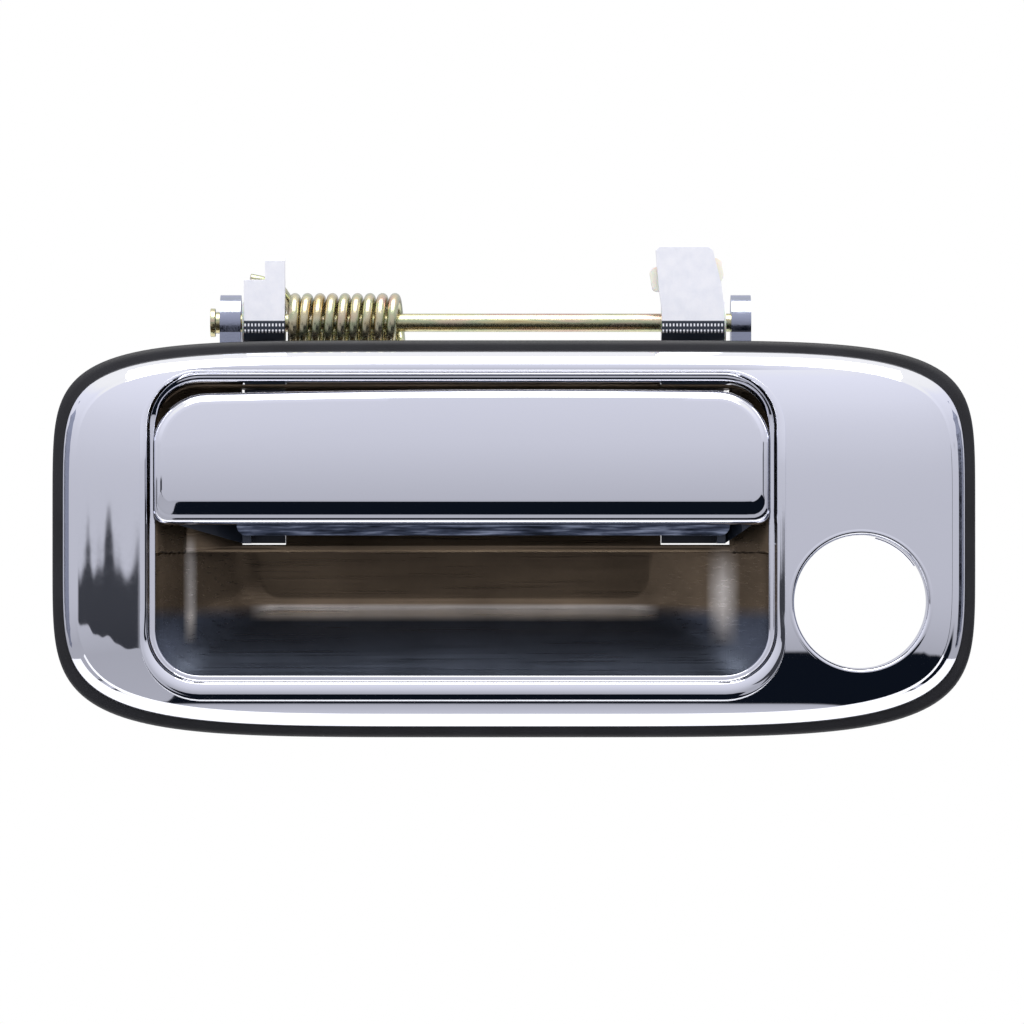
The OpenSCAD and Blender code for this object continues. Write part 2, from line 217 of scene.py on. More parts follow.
def node(tree, kind, *values, numbered=None, stops=(), out=0, **settings):
    """Adds a node and returns one of its outputs. Values fill its inputs in order, numbered ones by
    number, and a setting names an input (with _ for a space) or a property. Sockets are linked, and
    stops colour a ramp."""
    n = tree.nodes.new("ShaderNode" + kind)
    inputs = {**dict(enumerate(values)), **(numbered or {})}
    for key, value in settings.items():
        name = key.replace("_", " ")
        if name in n.inputs:
            inputs[name] = value
        else:
            setattr(n, key, value)
    for key, value in inputs.items():
        if isinstance(value, bpy.types.NodeSocket):
            tree.links.new(value, n.inputs[key])
        else:
            n.inputs[key].default_value = value
    if stops:
        while len(n.color_ramp.elements) < len(stops):
            n.color_ramp.elements.new(0.5)
        for e, (position, colour) in zip(n.color_ramp.elements, stops):
            e.position, e.color = position, colour
    return n.outputs[out] if n.outputs else n


def per(*sizes):
    """The scale that gives a noise features of this size in mm, or of one size along each axis."""
    scales = [1 / (size * MM) for size in sizes]
    return scales if len(scales) > 1 else scales[0]


def material(name):
    """A new material, its node tree, and the place on the piece that its patterns are drawn from."""
    m = bpy.data.materials.new(name)
    m.use_nodes = True
    m.node_tree.nodes.clear()
    print("material:", name)
    return m, m.node_tree, node(m.node_tree, "TexCoord", out="Object")


def surface(tree, **settings):
    """Ends a material with one Principled surface."""
    node(tree, "OutputMaterial", node(tree, "BsdfPrincipled", **settings))


# %% [markdown]
# ### Bright chrome
#
# Chrome plate over polished zinc. A perfect mirror looks like computer glass. So a slow bump a few
# microns high gives the waviness of a polished casting, and a fine noise in the roughness gives the
# haze that the polishing wheel leaves.


# %% Bright chrome
def chrome(name, wave):
    m, t, place = material(name)
    slow = node(t, "TexNoise", Vector=place, Scale=per(14.3), Detail=2.0)
    fine = node(t, "TexNoise", Vector=place, Scale=per(1.11), Detail=4.0)
    surface(t, Metallic=1.0, Base_Color=linear("f1f2f8"),
            Roughness=node(t, "MapRange", fine, 0.3, 0.7, 0.02, 0.04),
            Normal=node(t, "Bump", Height=slow, Distance=wave * MM))
    return m


bright_chrome = chrome("bright_chrome", 0.010)
grip_chrome = chrome("grip_chrome", 0.006)

# %% [markdown]
# ### Cast chrome
#
# The back of the plate and its lugs are plated over the raw casting, which nobody polished. The
# plating keeps the fine granular skin of the die, and its gloss changes in blotches.

# %% Cast chrome
cast_chrome, t, place = material("cast_chrome")
grain = node(t, "TexNoise", Vector=place, Scale=per(0.455), Detail=5.0)
blotch = node(t, "TexNoise", Vector=place, Scale=per(3.85), Detail=3.0)
surface(t, Metallic=1.0, Base_Color=linear("a4a9ba"),
        Roughness=node(t, "MapRange", blotch, 0.3, 0.7, 0.10, 0.26),
        Normal=node(t, "Bump", Height=grain, Distance=0.02 * MM))

# %% [markdown]
# ### Satin arms
#
# The arms are barrel plated, which leaves a pale satin skin. Just above the plate each arm's front
# is painted dark as painted shade, and two rows of fine ribs, left by the trimming die, are painted
# lit across it as painted highlights. The painted shade and the lit ribs are drawn by position: a
# *band* is 1 between two heights and 0 outside.

# %% Satin arms
RIB_PITCH = 0.75  # mm
satin_arms, t, place = material("satin_arms")
arm_height = node(t, "SeparateXYZ", place, out="Z")


def band(low, high, edge=0.2):
    """1 between two heights in mm, fading to 0 over a narrow edge."""
    over = node(t, "MapRange", arm_height, (low - edge) * MM, low * MM)
    under = node(t, "MapRange", arm_height, high * MM, (high + edge) * MM, 1.0, 0.0)
    return node(t, "Math", over, under, operation="MULTIPLY")


across_arm = node(t, "SeparateXYZ", place, out="X")
phase = node(t, "Math", across_arm, 2 * math.pi / (RIB_PITCH * MM), operation="MULTIPLY")
ribs = node(t, "MapRange", node(t, "Math", phase, operation="SINE"), -0.2, 0.5)
# the two rows where the ribs are painted lit, as painted highlights
rib_rows = node(t, "Math", band(34.8, 35.3), band(36.2, 36.6), operation="ADD")
painted_rib_highlights = node(t, "Math", rib_rows, ribs, operation="MULTIPLY")
# painted shade: the front side of each arm is painted dark between these heights, except on the painted rib
# highlights
front_side = node(t, "MapRange", node(t, "SeparateXYZ", place, out="Y"), 8.5 * MM, 9.5 * MM, 1.0, 0.0)
shade = node(t, "Math", band(-20.0, 37.2), front_side, operation="MULTIPLY")
shade = node(t, "Math", shade, painted_rib_highlights, operation="SUBTRACT", use_clamp=True)
spots = node(t, "TexNoise", Vector=place, Scale=per(2.38), Detail=4.0)
pale = node(t, "ValToRGB", spots, stops=[(0.35, linear("f4f5fa")), (0.65, linear("fcfcff"))])
# 2b313c is the colour of the painted shade
surface(t, Metallic=0.25, Roughness=0.34,
        Base_Color=node(t, "Mix", numbered={0: shade, 6: pale, 7: linear("2b313c")}, data_type="RGBA", out=2),
        Normal=node(t, "Bump", Height=ribs, Distance=0.01 * MM))

# %% [markdown]
# ### Pressed dish
#
# Stainless sheet, drawn over a die and rough polished. Noise stretched along one axis draws long
# brush lines and short cross scratches. Painted reflections colour the back wall brown and the wall
# below it blue-grey, and painted highlights lie in bright bands along the bend and at the corners
# where the sheet bent round the die.

# %% Pressed dish
pressed_dish, t, place = material("pressed_dish")
lengthwise = node(t, "Mapping", Vector=place, Scale=per(33.3, 1.11, 0.385))
crosswise = node(t, "Mapping", Vector=place, Scale=per(0.3125, 16.7, 16.7))
lines = node(t, "TexNoise", Vector=lengthwise, Scale=1.0, Detail=4.0)
scratches = node(t, "TexNoise", Vector=crosswise, Scale=1.0, Detail=3.0)
cloud = node(t, "TexNoise", Vector=place, Scale=per(18.2), Detail=3.0)
# painted reflections: the back wall is painted brown and the wall below the bend blue-grey, for what each of them
# faces
up_the_wall = node(t, "MapRange", node(t, "SeparateXYZ", place, out="Z"), -28.0 * MM, -24.0 * MM)
colour_with_painted_reflections = node(t, "ValToRGB", up_the_wall, stops=[(0.10, linear("5d6472")), (0.90, linear("7e6d58"))])


def painted_highlight_patch(middle, half, soft):
    """1 on a rectangle of the sheet where a highlight is painted, given as (x, z) in mm, fading to 0 over its
    soft edges.
    """
    sides = []
    for axis, m, h, s in zip("XZ", middle, half, soft):
        off = node(t, "Math", node(t, "SeparateXYZ", place, out=axis), m * MM, operation="SUBTRACT")
        away = node(t, "Math", off, operation="ABSOLUTE")
        sides.append(node(t, "MapRange", away, h * MM, (h + s) * MM, 1.0, 0.0))
    return node(t, "Math", *sides, operation="MULTIPLY")


# painted highlights: one band along the bend below the back wall, and narrow bands at the left and right corners
bend_highlight = painted_highlight_patch((-13.0, -26.2), (40.0, 0.6), (5.0, 1.4))
left_corner_highlight = painted_highlight_patch((-70.3, -21.0), (0.2, 6.0), (1.4, 6.0))
right_corner_highlight = painted_highlight_patch((45.5, -22.5), (0.1, 2.0), (3.6, 9.0))
corners = node(t, "Math", left_corner_highlight, right_corner_highlight, operation="MAXIMUM")
painted_highlights = node(t, "Math", bend_highlight, corners, operation="MAXIMUM")
# fff6ea is the colour of the painted highlights
colour_with_painted_reflections = node(t, "Mix", numbered={0: painted_highlights, 6: colour_with_painted_reflections, 7: linear("fff6ea")}, data_type="RGBA", out=2)
wear = node(t, "ValToRGB", cloud, stops=[(0.30, grey(0.62)), (0.55, grey(0.85)), (0.75, grey(1.0))])
colour_with_painted_reflections = node(t, "Mix", numbered={0: 1.0, 6: colour_with_painted_reflections, 7: wear}, data_type="RGBA", blend_type="MULTIPLY", out=2)
relief = node(t, "Math", lines, scratches, operation="ADD")
surface(t, Metallic=0.82, Base_Color=colour_with_painted_reflections, Roughness=node(t, "MapRange", lines, 0.3, 0.7, 0.24, 0.44),
        Normal=node(t, "Bump", Height=relief, Distance=0.014 * MM))

# %% [markdown]
# ### Scratched sheet
#
# The web behind the grip is rolled steel strip, bare and much scratched. One stretched noise both
# colours it and lifts it, so that its tones and its relief agree.

# %% Scratched sheet
web_sheet, t, place = material("web_sheet")
rolled = node(t, "Mapping", Vector=place, Scale=per(8.33, 1.11, 0.667))
marks = node(t, "TexNoise", Vector=rolled, Scale=1.0, Detail=6.0)
scratch_tones = [(0.35, linear("252a34")), (0.5, linear("525a6c")), (0.68, linear("a4aec2"))]
surface(t, Metallic=1.0, Base_Color=node(t, "ValToRGB", marks, stops=scratch_tones), Roughness=0.32,
        Normal=node(t, "Bump", Height=marks, Distance=0.03 * MM))

# %% [markdown]
# ### Yellow zinc
#
# The pin and the spring are zinc plated, with a yellow chromate bath over the zinc. The film's
# thickness drifts, so its colour slides between straw, green and pink, as a soap film's does.


# %% Yellow zinc
def yellow_zinc(name, base, drift):
    m, t, place = material(name)
    drawn_out = node(t, "Mapping", Vector=place, Scale=per(*drift))
    film = node(t, "TexNoise", Vector=drawn_out, Scale=1.0, Detail=2.0)
    tones = [(0.28, linear("bda97c")), (0.42, linear(base)), (0.52, linear("b4bb98")),
             (0.60, linear("d0c3a4")), (0.72, linear("c8aa9c"))]
    specks = node(t, "TexNoise", Vector=place, Scale=per(0.556), Detail=4.0)
    surface(t, Metallic=1.0, Base_Color=node(t, "ValToRGB", film, stops=tones),
            Roughness=node(t, "MapRange", specks, 0.3, 0.7, 0.16, 0.34),
            Normal=node(t, "Bump", Height=specks, Distance=0.008 * MM))
    return m


pin_zinc = yellow_zinc("pin_yellow_zinc", "d6cc9e", (16.7, 2.0, 2.0))
spring_zinc = yellow_zinc("spring_yellow_zinc", "d0c8a8", (7.14, 6.25, 6.25))

# %% [markdown]
# ### Rubber, nylon and clear zinc
#
# The plain parts share one recipe: two close tones in soft clouds, and a fine grain that both roughens
# the gloss and lifts the surface. The grain size is given in mm. Nylon also lets a little light in.


# %% Rubber, nylon and clear zinc
def plain(name, tones, rough, grain_mm, depth, metal=0.0, soft=0.0):
    m, t, place = material(name)
    grain = node(t, "TexNoise", Vector=place, Scale=per(grain_mm), Detail=5.0)
    cloud = node(t, "TexNoise", Vector=place, Scale=per(8.33), Detail=2.0)
    stops = [(0.35, linear(tones[0])), (0.65, linear(tones[1]))]
    surface(t, Metallic=metal, Base_Color=node(t, "ValToRGB", cloud, stops=stops),
            Roughness=node(t, "MapRange", grain, 0.3, 0.7, rough - 0.08, rough + 0.1),
            Subsurface_Weight=soft, Subsurface_Scale=0.001,
            Normal=node(t, "Bump", Height=grain, Distance=depth * MM))
    return m


gasket_rubber = plain("moulded_rubber", ("111114", "19191d"), 0.52, 0.25, 0.02)
foam_rubber = plain("sponge_rubber", ("1b1b1c", "29292b"), 0.85, 0.5, 0.08)
white_nylon = plain("natural_nylon", ("f7f2e2", "fbf8ee"), 0.42, 0.4, 0.01, soft=0.3)
zinc_screw = plain("clear_zinc", ("9ea3a8", "b9bdc0"), 0.30, 0.2, 0.01, metal=1.0)

# %% [markdown]
# ## The plate's face
#
# The face is one skin from the rubber's edge, up the steep flank, over the domed land, across the
# raised bead and down into the opening as far as the narrow ledge. The cast body behind it stays as
# the frame gives it, with the lugs and fixing bosses. Its rings are listed first, from the outside in.


# %% Rings on the dome and level rings
def lift(points, rise=0.0):
    return [at(x, crown(x, z) - rise, z) for x, z in points]


def level(points, y):
    return [at(x, y, z) for x, z in points]


def smooth(t):
    t = max(0.0, min(1.0, t))
    return t * t * (3 - 2 * t)


# %% [markdown]
# The bead is a low rounded rib at the opening's edge. Two formulas give its height round the opening
# and its shape across. It has a sharp foot, so its first rings lie close together.


# %% Bead formulas
def bead_height(z):
    """The bead is highest below the opening and dies away along its top."""
    return 0.80 + 0.35 * smooth((-z - 14) / 12) if z < 0 else 0.80 - 0.74 * smooth((z - 16) / 16)


def bead_shape(s):
    """Across the bead: a short steep foot outside, then one long soft curve down to the opening."""
    if s < 0.07:
        return math.sin(math.pi / 2 * s / 0.07) ** 0.8
    if s < 0.25:
        return 1.0 - 0.08 * ((s - 0.07) / 0.18) ** 2
    u = (s - 0.25) / 0.75
    return 0.92 - 0.30 * u - 0.48 * u * u


BEAD = (1.5, 1.9, 3.9, 0.45)
bead_foot = rounded_ring(OPENING, BEAD, 13.2)
land_edge = plate_ring(2.9)
print("the bead is", BEAD[2], "mm wide below the opening and", BEAD[3], "mm above it")

# %% Flank and land
FOOT = -2.95  # depth of the flank's foot, on the rubber
rings = [level(plate_ring(-0.08), -2.5), level(plate_ring(-0.08), FOOT)]
for turn in (0.12, 0.25, 0.4, 0.55, 0.7, 0.82, 0.92):  # the flank, a steep quarter round
    rise = math.sin(turn * math.pi / 2) ** 0.9
    outline = plate_ring(-0.08 + 2.6 * turn ** 1.25)
    rings.append([at(x, FOOT + (crown(x, z) + 0.28 - FOOT) * rise, z) for x, z in outline])
rings.append(lift(plate_ring(2.62), -0.16))
rings.append(lift(plate_ring(2.72), -0.05))
LAND = 46
for i in range(LAND + 1):
    rings.append(lift(mixed(land_edge, bead_foot, i / LAND)))
print("rings on the flank and the land:", len(rings))

# %% Bead
ACROSS = (0.012, 0.025, 0.04, 0.055, 0.07, 0.1, 0.14, 0.18, 0.22, 0.26, 0.3, 0.35, 0.4, 0.46, 0.52, 0.58,
          0.64, 0.7, 0.76, 0.82, 0.88, 0.94, 1.0)  # closest where the bead's foot turns
for across in ACROSS:
    left = 1 - across
    outline = rounded_ring(OPENING, [g * left for g in BEAD], 11.4 + 1.8 * left)
    rings.append([at(x, crown(x, z) - bead_shape(across) * bead_height(z), z) for x, z in outline])
inner = (-0.06,) * 4
wall = rounded_ring(OPENING, inner, 11.4)
rings.append([at(x, crown(x, z) + 0.25 - 0.1 * smooth((z - 26) / 8), z) for x, z in wall])
wall = rounded_ring(OPENING, (-0.2,) * 4, 11.3)
rings.append([at(x, crown(x, z) + 0.9 - 0.62 * smooth((z - 26) / 8), z) for x, z in wall])
print("rings with the bead:", len(rings))

# %% [markdown]
# Inside the opening is a narrow ledge that the grip shuts over. Along the top it's raised to meet the
# grip's upper edge, so its depth changes with height.

# %% Ledge

step = rounded_ring(OPENING, (-0.42,) * 4, 11.2)
mouth = rounded_ring(MOUTH, inner, 9.6)


def ledge(low, high, towards_mouth):
    """A ring of the ledge: its depth is low at the sides and below, and high along the top."""
    outline = mixed(step, mouth, towards_mouth)
    return [at(x, low + (high - low) * smooth((z - 26) / 8), z) for x, z in outline]


LEDGE = ((0.0, -4.66, -6.24), (0.10, -4.60, -6.18), (0.25, -4.60, -6.16), (0.42, -4.60, -6.14),
         (0.52, -4.60, -6.08), (0.60, -4.60, -5.98), (0.68, -4.59, -5.84), (0.76, -4.58, -5.64),
         (0.84, -4.56, -5.36), (0.91, -4.53, -5.0), (0.97, -4.46, -4.6))
rings += [ledge(low, high, towards_mouth) for towards_mouth, low, high in LEDGE]
rings += [level(mouth, -4.30), level(mouth, -3.6), level(mouth, -2.6)]

face = bmesh.new()
skin(face, rings)
print("face rings:", len(rings))

# %% [markdown]
# The key hole is cut by deleting the quads round it, laying a true circle on the dome, and *bridging*
# the ragged edge to that circle. More rings roll the edge over into the bore.

# %% Key hole
KEY = (74.8, -13.6)
CUT = 16.6
NEXT_TO_OPENING = 58.65  # the hole's cut stops short of the bead


def from_key(point):
    """Distance in mm from the key hole's axis."""
    return math.hypot(point.x / MM - KEY[0], point.z / MM + LIFT - KEY[1])


def key_ring(radius, rise=0.0, y=None, steps=160):
    out = []
    for i in range(steps):
        a = 2 * math.pi * i / steps
        x, z = KEY[0] + radius * math.cos(a), KEY[1] + radius * math.sin(a)
        out.append(at(x, crown(x, z) - rise if y is None else y, z))
    return out


gone = []
for f in face.faces:
    middle = f.calc_center_median()
    if from_key(middle) < CUT and middle.x / MM > NEXT_TO_OPENING:
        gone.append(f)
bmesh.ops.delete(face, geom=gone, context="FACES")
ragged = []
for e in face.edges:
    end = e.verts[0].co
    if len(e.link_faces) == 1 and from_key(end) < CUT + 3 and end.x / MM > 57.5 and end.y / MM < -6:
        ragged.append(e)

# %% Key hole edge
start = lay_ring(face, key_ring(15.9))
bmesh.ops.bridge_loops(face, edges=ragged + ring_edges(face, start))
ring = start
ROLLED_EDGE = ((15.75, 0), (15.6, 0.02), (15.35, 0.05), (15.1, 0.05), (14.9, -0.02), (14.72, -0.16),
               (14.58, -0.36), (14.47, -0.62), (14.42, -0.95))
for radius, rise in ROLLED_EDGE:
    ring = grow(face, ring, key_ring(radius, rise))
for y in (-6.0, -4.0, -2.0, -0.6):
    ring = grow(face, ring, key_ring(14.40, y=y))

# %% [markdown]
# Normals averaged from quads ripple a little, and chrome shows it. On the dome the formula gives the
# exact slope, so it's written into the mesh as *custom normals*.

# %% Face object
bezel_face = as_object(face, "bezel_face")
mesh = bezel_face.data
normals = [tuple(n.vector) for n in mesh.vertex_normals]
for i, v in enumerate(mesh.vertices):  # on the land the exact slope of the dome gives the normal
    x, y, z = v.co.x / MM, v.co.y / MM, v.co.z / MM + LIFT
    if abs(y - crown(x, z)) < 2e-4:
        e = 0.01
        gx = (crown(x + e, z) - crown(x - e, z)) / (2 * e)
        gz = (crown(x, z + e) - crown(x, z - e)) / (2 * e)
        normals[i] = tuple(Vector((gx, -1.0, gz)).normalized())
mesh.normals_split_custom_set_from_vertices(normals)
mesh.materials.append(bright_chrome)
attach(bezel_face, "plate")

# %% [markdown]
# A short curved tab inside the bore keeps the cylinder from turning. It's a small square *spun*
# round the bore's axis.

# %% Key tab
bm = bmesh.new()
square = bmesh.ops.create_circle(bm, cap_ends=True, segments=4, radius=0.5 * MM)
first_angle, sweep = math.radians(33), math.radians(43)
spoke = Vector((math.cos(first_angle), 0, math.sin(first_angle)))
for v in square["verts"]:
    u, w = v.co.x / MM, v.co.y / MM
    v.co = at(KEY[0], -1.3 + 1.1 * w, KEY[1]) + spoke * (14.02 + 0.55 * u) * MM
bmesh.ops.spin(bm, geom=whole(bm), cent=at(KEY[0], -1.3, KEY[1]), axis=(0, 1, 0), angle=-sweep, steps=30)
tab = as_object(bm, "key_tab", smooth=False)
tab.data.materials.append(grip_chrome)
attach(tab, "plate")

# %% [markdown]
# ## The grip
#
# The grip is a shallow tray turned face out: a narrow flange all round, a tight foot, and a pad that
# rises from it and is very slightly domed. It is one closed skin, from the flat back to the face.

# %% Grip outline and face
GRIP = (-77.8, 55.2, 3.0, 32.2)


def grip_face(x, z):
    return -11.15 + 0.42 * ((z - 14.0) / 11) ** 2 + 0.12 * (abs(x + 11.3) / 60) ** 4


def arch(x, z):
    """The grip's top edge is bowed: its ends are a little lower than its middle."""
    s = max(0.0, min(1.0, (z - 12) / 18))
    return z - 0.9 * ((x - 5) / 72) ** 2 * s * s * (3 - 2 * s)


def grip_ring(side, below, above, y=None, drop=0.0, r_top=11.5, r_low=3.2):
    """Its lower corners are tighter than its upper ones, so two rounded rectangles are joined."""
    box = (GRIP[0] + side, GRIP[1] - side, GRIP[2] + below, GRIP[3] - above)
    hi = rounded_ring(box, (0,) * 4, max(r_top - side, 0.8))
    lo = rounded_ring(box, (0,) * 4, max(r_low - side * 0.3, 0.6))
    mid = (box[2] + box[3]) / 2
    out = []
    for (hx, hz), (lx, lz) in zip(hi, lo):
        x, z = (hx, hz) if hz >= mid else (lx, lz)
        out.append(at(x, grip_face(x, z) + drop if y is None else y, arch(x, z)))
    return out


# %% [markdown]
# The lip is what makes the grip look pressed and not cut. Each row below is one ring: how deep it
# lies, and how far in from the outline. Below, the pad starts 5 mm in, which leaves a wide dark step.

# %% Grip rings
back_edge = [  # y, then how far in at the ends, below and above
    (-6.42, 2.2, 2.2, 2.2), (-6.42, 0.5, 0.5, 0.5), (-6.50, 0.15, 0.15, 0.15), (-6.75, 0.0, 0.0, 0.0),
    (-7.6, 0.0, 0.0, 0.0)]
lip = [  # depth behind the face, then how far in at the ends, below and above
    (2.60, 0.02, 0.03, 0.02), (2.10, 0.07, 0.10, 0.06), (1.65, 0.15, 0.22, 0.14), (1.28, 0.27, 0.40, 0.24),
    (0.98, 0.42, 0.62, 0.36), (0.76, 0.58, 0.84, 0.48), (0.62, 0.74, 1.06, 0.60), (0.575, 0.88, 1.28, 0.70),
    (0.57, 0.98, 1.6, 0.78), (0.57, 1.06, 2.1, 0.85), (0.565, 1.12, 2.62, 0.92), (0.48, 1.18, 2.92, 0.98),
    (0.37, 1.30, 3.35, 1.10), (0.24, 1.46, 3.85, 1.26), (0.12, 1.64, 4.35, 1.44), (0.03, 1.84, 4.74, 1.64),
    (0.0, 2.00, 4.92, 1.80)]
rings = [grip_ring(s, b, a, y=y) for y, s, b, a in back_edge]
rings += [grip_ring(s, b, a, drop=d) for d, s, b, a in lip]
for i in range(1, 17):
    k = i / 16
    rings.append(grip_ring(2.0 + 10.4 * k, 4.92 + 7.8 * k, 1.8 + 10.6 * k))
print("grip rings:", len(rings))

# %% Grip
bm = bmesh.new()
first, last = skin(bm, rings)
for ring in (first, last):
    bmesh.ops.contextual_create(bm, geom=ring + ring_edges(bm, ring))
grip = as_object(bm, "grip_pad")
mesh = grip.data
normals = [tuple(n.vector) for n in mesh.vertex_normals]
for i, v in enumerate(mesh.vertices):
    x, y, z = v.co.x / MM, v.co.y / MM, v.co.z / MM + LIFT
    if abs(y - grip_face(x, z)) < 0.02 and GRIP[0] + 2.0 < x < GRIP[1] - 2.0 and GRIP[2] + 5.0 < z:
        gx = 0.12 * 4 * (abs(x + 11.3) / 60) ** 3 / 60 * (1 if x > -11.3 else -1)
        gz = 0.42 * 2 * (z - 14.0) / 121
        normals[i] = tuple(Vector((gx, -1.0, gz)).normalized())
mesh.normals_split_custom_set_from_vertices(normals)
mesh.materials.append(grip_chrome)
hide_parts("grip")
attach(grip, "handle")

# %% [markdown]
# ## The dish
#
# The dish is drawn from sheet. Below the grip it's deep, with sloping walls and a back wall that
# leans out a little at its top. Behind the grip it's shallow, with two slots for the hinge arms. The
# two halves are grown as two skins, each trimmed by a plane, and joined by a narrow shelf. *Solidify*
# gives the sheet its thickness.


# %% Dish sizes and helpers
STEP = -3.0  # height of the shelf between the deep and the shallow half
WALLS = [  # depth, then the left, right and lower walls at that depth
    (0.0, -76.2, 53.6, -28.4), (3.0, -73.4, 50.2, -25.6), (5.0, -71.6, 48.0, -23.9),
    (7.5, -69.0, 44.9, -22.2), (10.0, -66.2, 41.6, -20.6), (12.5, -63.0, 37.8, -19.2), (14.4, -60.6, 35.0, -17.8),
    (15.6, -58.8, 33.0, -16.4), (16.3, -57.2, 31.4, -14.9), (16.6, -55.6, 29.8, -13.2)]
SLOTS = ((-58.95, -49.5), (31.9, 46.8))
SLOT_FOOT = -1.3


def dish_ring(x0, x1, z0, z1, r, y, lean=0.0, steps=320):
    points = rounded_ring((x0, x1, z0, z1), (0, 0, 0, 0), r, steps)
    return [at(x, y - lean * max(0.0, z - z0), z) for x, z in points]


def smoothed(rows, steps):
    """Rows of numbers, smoothed, with this many steps from each given row to the next."""
    out = []
    for i in range(steps * (len(rows) - 1) + 1):
        j, f = divmod(i, steps)
        p0, p1 = rows[max(j - 1, 0)], rows[j]
        p2, p3 = rows[min(j + 1, len(rows) - 1)], rows[min(j + 2, len(rows) - 1)]
        u = f / steps
        row = []
        for a, b, c, d in zip(p0, p1, p2, p3):
            bow = (2 * a - 5 * b + 4 * c - d) * u * u + (3 * b - a - 3 * c + d) * u ** 3
            row.append(0.5 * (2 * b + (c - a) * u + bow))
        out.append(row)
    return out


def flange(top):
    return [dish_ring(-84.0, 57.6, -36.4, top, 9, -2.05), dish_ring(-79.5, 57.2, -31.6, top, 10, -2.05),
            dish_ring(-78.6, 56.2, -30.6, top, 10, -2.0), dish_ring(-77.9, 55.5, -29.95, top, 10, -1.75),
            dish_ring(-77.5, 55.1, -29.55, top, 10, -1.2)]


def trim(bm, place, normal):
    bmesh.ops.bisect_plane(bm, geom=whole(bm), plane_co=place, plane_no=normal, clear_outer=True)


# %% Deep half of the dish
rings = flange(26.0)
rows = smoothed(WALLS, 4)
for i, (y, x0, x1, z0) in enumerate(rows):
    k = i / (len(rows) - 1)
    rings.append(dish_ring(x0, x1, z0, 26.0, 10 - 5 * k, y, lean=0.20 * k * k))
back_wall = (-55.6, 29.8, -13.2, 26.0)
for g in (0.4, 1.0, 2.0, 4.0, 7.0, 11.0, 15.0):  # the back wall, in rings too, so that it's shaded flat
    outline = rounded_ring(back_wall, (-g,) * 4, 4.5, 320)
    rings.append([at(x, 16.62 - 0.20 * (z + 13.2), z) for x, z in outline])
bm = bmesh.new()
first, last = skin(bm, rings)
bmesh.ops.contextual_create(bm, geom=last + ring_edges(bm, last))
trim(bm, at(0, 0, STEP), (0, 0, 1))
rim = [v for v in bm.verts if abs(v.co.z - at(0, 0, STEP).z) < 1e-6 and v.co.y > 4.9 * MM]
shelf = [e for e in bm.edges if e.verts[0] in rim and e.verts[1] in rim and len(e.link_faces) == 1]
bmesh.ops.contextual_create(bm, geom=rim + shelf)
deep = as_object(bm, "dish_sheet", crease=40)

# %% [markdown]
# The shallow half uses the same walls down to 5 mm. Its slots are cut by slicing the sheet along their
# edges and then deleting the faces between the slices.

# %% Shallow half of the dish
top_rows = [r for r in rows if r[0] <= 5.01]
rings = [dish_ring(-79.0, 56.4, -31.0, 34.2, 9, -2.0), dish_ring(-77.5, 55.1, -29.55, 33.4, 9, -1.6)]
for i, (y, x0, x1, z0) in enumerate(top_rows):
    rings.append(dish_ring(x0, x1, z0, 33.2 - 2.0 * i / (len(top_rows) - 1), 9, y))
rings += [dish_ring(x0 + g, x1 - g, z0 + g, 31.2 - g, 8, 5.0 + 0.3 * g) for g in (0.4, 0.9)]
bm = bmesh.new()
first, last = skin(bm, rings)
bmesh.ops.contextual_create(bm, geom=last + ring_edges(bm, last))
trim(bm, at(0, 0, STEP), (0, 0, -1))
for x in SLOTS[0] + SLOTS[1]:
    bmesh.ops.bisect_plane(bm, geom=whole(bm), plane_co=at(x, 0, 0), plane_no=(1, 0, 0))
bmesh.ops.bisect_plane(bm, geom=whole(bm), plane_co=at(0, 0, SLOT_FOOT), plane_no=(0, 0, 1))
slots = []
for f in bm.faces:
    c = f.calc_center_median() / MM
    if c.y > -0.6 and c.z + LIFT > SLOT_FOOT and any(left < c.x < right for left, right in SLOTS):
        slots.append(f)
bmesh.ops.delete(bm, geom=slots, context="FACES")
shallow = as_object(bm, "dish_top", crease=40)

# %% Sheet thickness
for obj in (deep, shallow):
    solid = obj.modifiers.new("sheet", "SOLIDIFY")
    solid.thickness = 1.0 * MM
    solid.offset = -1.0
    obj.data.materials.append(pressed_dish)
    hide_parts("recess_cup")
    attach(obj, "plate")
print("the sheet is", round(solid.thickness / MM, 2), "mm thick")

# %% [markdown]
# ## The gasket
#
# A moulded rubber ring between the plate and the door. Its outer edge is rounded, with a shallow
# sealing lip on the side that meets the paint.

# %% Gasket
section = [  # how far in from the plate's edge, and y, once round the rubber's section
    (3.3, -0.02), (3.3, -2.40), (0.6, -2.42), (-1.2, -2.40), (-1.9, -2.25), (-2.2, -1.95), (-2.36, -1.5),
    (-2.38, -0.8), (-2.25, -0.3), (-1.9, -0.04), (-1.0, -0.02), (-0.4, -0.30), (0.4, -0.30), (1.0, -0.02)]
rings = []
for inset, y in section:
    taller = 38.5 / 37.3 if inset > 3 else 1.0  # along the top the inner edge is 1.2 mm higher
    rings.append(level([(x, z * taller if z > 0 else z) for x, z in plate_ring(inset)], y))
bm = bmesh.new()
first, last = skin(bm, rings)
bmesh.ops.bridge_loops(bm, edges=ring_edges(bm, first) + ring_edges(bm, last))
gasket = as_object(bm, "gasket_ring")
gasket.data.materials.append(gasket_rubber)
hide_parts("gasket")
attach(gasket, "plate")

# %% [markdown]
# ## The torsion spring
#
# Round wire follows the same path as in the frame: a leg that bears on the left arm, nine coils round
# the pin, and a leg to the plate. A *curve* with a bevel depth makes the wire. On the real handle one
# end moves with the arm and the other stays with the plate, and the turn winds up along the coils.

